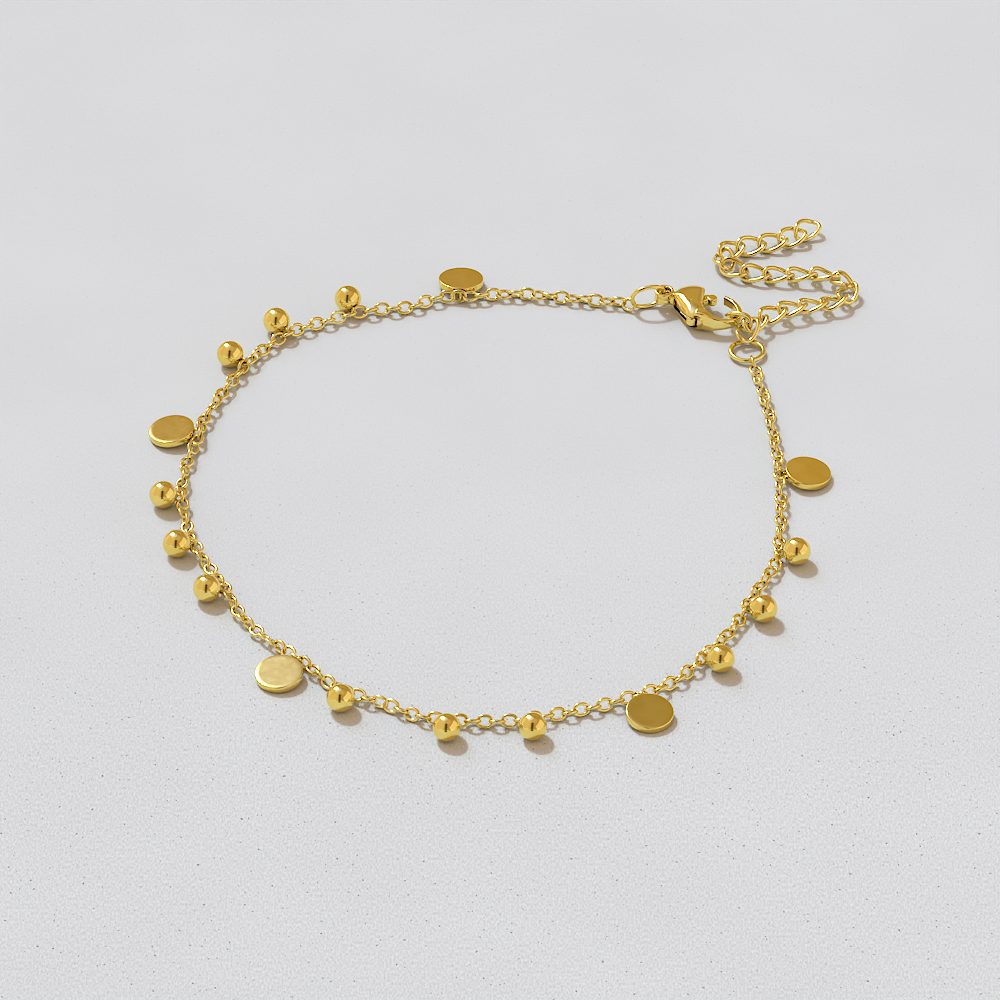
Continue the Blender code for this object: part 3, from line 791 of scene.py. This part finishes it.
def make_panel():
    """A rectangular white panel on the right, facing the anklet."""
    light = bpy.data.lights.new("right_panel", "AREA")
    light.shape = "RECTANGLE"
    light.size = PANEL_WIDTH
    light.size_y = PANEL_HEIGHT
    light.energy = PANEL_WATTS
    light.color = PANEL_COLOUR
    thing = bpy.data.objects.new("right_panel", light)
    bpy.context.scene.collection.objects.link(thing)
    thing.location = PANEL_TOWARD.normalized() * PANEL_DISTANCE
    thing.rotation_euler = PANEL_TOWARD.to_track_quat("Z", "Y").to_euler()
    thing.visible_camera = False


def make_light():
    key = bpy.data.lights.new("key", "SUN")
    key.energy = KEY_STRENGTH
    key.angle = KEY_ANGLE
    key.color = KEY_COLOUR
    thing = bpy.data.objects.new("key", key)
    bpy.context.scene.collection.objects.link(thing)
    thing.rotation_euler = KEY_FROM.to_track_quat("Z", "Y").to_euler()
    make_panel()


def direction_of(azimuth, elevation):
    azimuth = math.radians(azimuth)
    elevation = math.radians(elevation)
    return Vector((math.sin(azimuth) * math.cos(elevation), math.cos(azimuth) * math.cos(elevation),
                   math.sin(elevation)))


def patch_share(tree, direction, azimuth, elevation, inner, outer):
    """1 in the middle of a round patch of the room, falling softly to 0 at its edge."""
    toward = tree.nodes.new("ShaderNodeVectorMath")
    toward.operation = "DOT_PRODUCT"
    toward.inputs[1].default_value = direction_of(azimuth, elevation)
    tree.links.new(direction, toward.inputs[0])
    share = tree.nodes.new("ShaderNodeMapRange")
    share.interpolation_type = "SMOOTHSTEP"
    share.inputs["From Min"].default_value = math.cos(math.radians(outer))
    share.inputs["From Max"].default_value = math.cos(math.radians(inner))
    tree.links.new(toward.outputs["Value"], share.inputs["Value"])
    return share.outputs["Result"]


def make_world():
    world = bpy.data.worlds.new("room")
    bpy.context.scene.world = world
    world.use_nodes = True
    tree = world.node_tree
    direction = tree.nodes.new("ShaderNodeTexCoord").outputs["Generated"]
    total = None
    for azimuth, elevation, inner, outer, colour in PATCHES:
        patch = tree.nodes.new("ShaderNodeVectorMath")
        patch.operation = "SCALE"
        patch.inputs[0].default_value = colour
        share = patch_share(tree, direction, azimuth, elevation, inner, outer)
        tree.links.new(share, patch.inputs["Scale"])
        added = tree.nodes.new("ShaderNodeVectorMath")
        added.operation = "ADD"
        tree.links.new(patch.outputs["Vector"], added.inputs[0])
        if total is None:
            added.inputs[1].default_value = ROOM
        else:
            tree.links.new(total, added.inputs[1])
        total = added.outputs["Vector"]
    for azimuth, elevation in CAMERA_DARK:
        share = patch_share(tree, direction, azimuth, elevation, *CAMERA_DARK_ANGLES)
        dimmed = tree.nodes.new("ShaderNodeVectorMath")
        dimmed.operation = "SCALE"
        tree.links.new(total, dimmed.inputs[0])
        tree.links.new(spread(tree, share, 0, 1, 1, CAMERA_DARK_LEFT), dimmed.inputs["Scale"])
        total = dimmed.outputs["Vector"]
    tree.links.new(total, tree.nodes["Background"].inputs["Color"])


def make_camera():
    camera = bpy.data.cameras.new("camera")
    camera.sensor_width = SENSOR
    camera.lens = LENS
    camera.clip_start = 0.01
    camera.clip_end = 20
    thing = bpy.data.objects.new("camera", camera)
    bpy.context.scene.collection.objects.link(thing)
    thing.location = (Vector((0, -CAMERA_BEHIND, CAMERA_HEIGHT)) + MOVE) * MM
    thing.rotation_euler = (math.pi / 2 - CAMERA_DOWN, 0, 0)
    bpy.context.scene.camera = thing


def sharpen_picture():
    """Cuts the picture's light at white and then sharpens it a little."""
    scene = bpy.context.scene
    scene.use_nodes = True
    tree = scene.node_tree
    tree.nodes.clear()
    picture = tree.nodes.new("CompositorNodeRLayers")
    cut = tree.nodes.new("CompositorNodeMixRGB")
    cut.blend_type = "MULTIPLY"
    cut.use_clamp = True
    crisp = tree.nodes.new("CompositorNodeFilter")
    crisp.filter_type = "SHARPEN_DIAMOND"
    crisp.inputs["Fac"].default_value = CRISPNESS
    finished = tree.nodes.new("CompositorNodeComposite")
    tree.links.new(picture.outputs["Image"], cut.inputs[1])
    tree.links.new(cut.outputs["Image"], crisp.inputs["Image"])
    tree.links.new(crisp.outputs["Image"], finished.inputs["Image"])


def main():
    charm_gold = gold("charm_gold", (0.96, 0.72, 0.18), (1.0, 0.80, 0.24), 0.06, 0.11, 0.05, 0.05)
    wire_gold = gold("wire_gold", (0.99, 0.75, 0.23), (1.0, 0.84, 0.33), 0.05, 0.12, 0.10, 0.08)
    cast_gold = gold("cast_gold", (0.98, 0.74, 0.20), (1.0, 0.82, 0.28), 0.05, 0.10, 0.05, 0.06)
    disc_gold = gold("disc_gold", (0.94, 0.70, 0.17), (1.0, 0.79, 0.23), 0.08, 0.12, 0.05, 0.12)
    chain = Chain(CHAIN_ROUTE)
    add_piece("cable_chain", cable_chain(chain), wire_gold, "anklet", ["chain"])
    makers = {"ball": make_ball, "disc": make_disc}
    golds = {"ball": charm_gold, "disc": disc_gold}
    counts = {"ball": 0, "disc": 0}
    for kind, share in CHARMS:
        counts[kind] += 1
        makers[kind](f"{kind}_{counts[kind]:02d}", chain, share * chain.length, golds[kind])
    add_piece("clasp_jump_ring", mesh_from("clasp_jump_ring", [clasp_ring_shell()]),
              cast_gold, "anklet", ["ring_clasp"])
    add_piece("end_jump_ring", mesh_from("end_jump_ring", [end_ring_shell()]),
              cast_gold, "anklet", ["ring_end"])
    points, faces = wire_ring(curb_point, LINK_WIRE, 40, 14)
    for number, pose in enumerate(link_poses(), 1):
        name = f"extender_{number:02d}"
        mesh = mesh_from(name, [([pose @ point for point in points], faces)])
        add_piece(f"curb_link_{number:02d}", mesh, wire_gold, "anklet", [name])
    make_clasp(cast_gold)
    make_floor(plaster())
    make_light()
    make_world()
    make_camera()
    sharpen_picture()
    bpy.context.scene.view_settings.view_transform = "Standard"


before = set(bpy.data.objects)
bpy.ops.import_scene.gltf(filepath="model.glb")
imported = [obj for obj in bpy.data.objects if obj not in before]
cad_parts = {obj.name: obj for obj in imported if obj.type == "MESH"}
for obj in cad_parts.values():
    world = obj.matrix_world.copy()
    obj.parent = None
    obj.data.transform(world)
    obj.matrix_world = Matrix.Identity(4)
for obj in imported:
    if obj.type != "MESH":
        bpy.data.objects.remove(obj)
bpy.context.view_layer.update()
low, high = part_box("clasp_pin")
CLASP_PIN_AT = (Vector(low) + Vector(high)) / 2 / MM
MOVE = CLASP_PIN_AT - clasp_point(PIVOT, 0)
main()
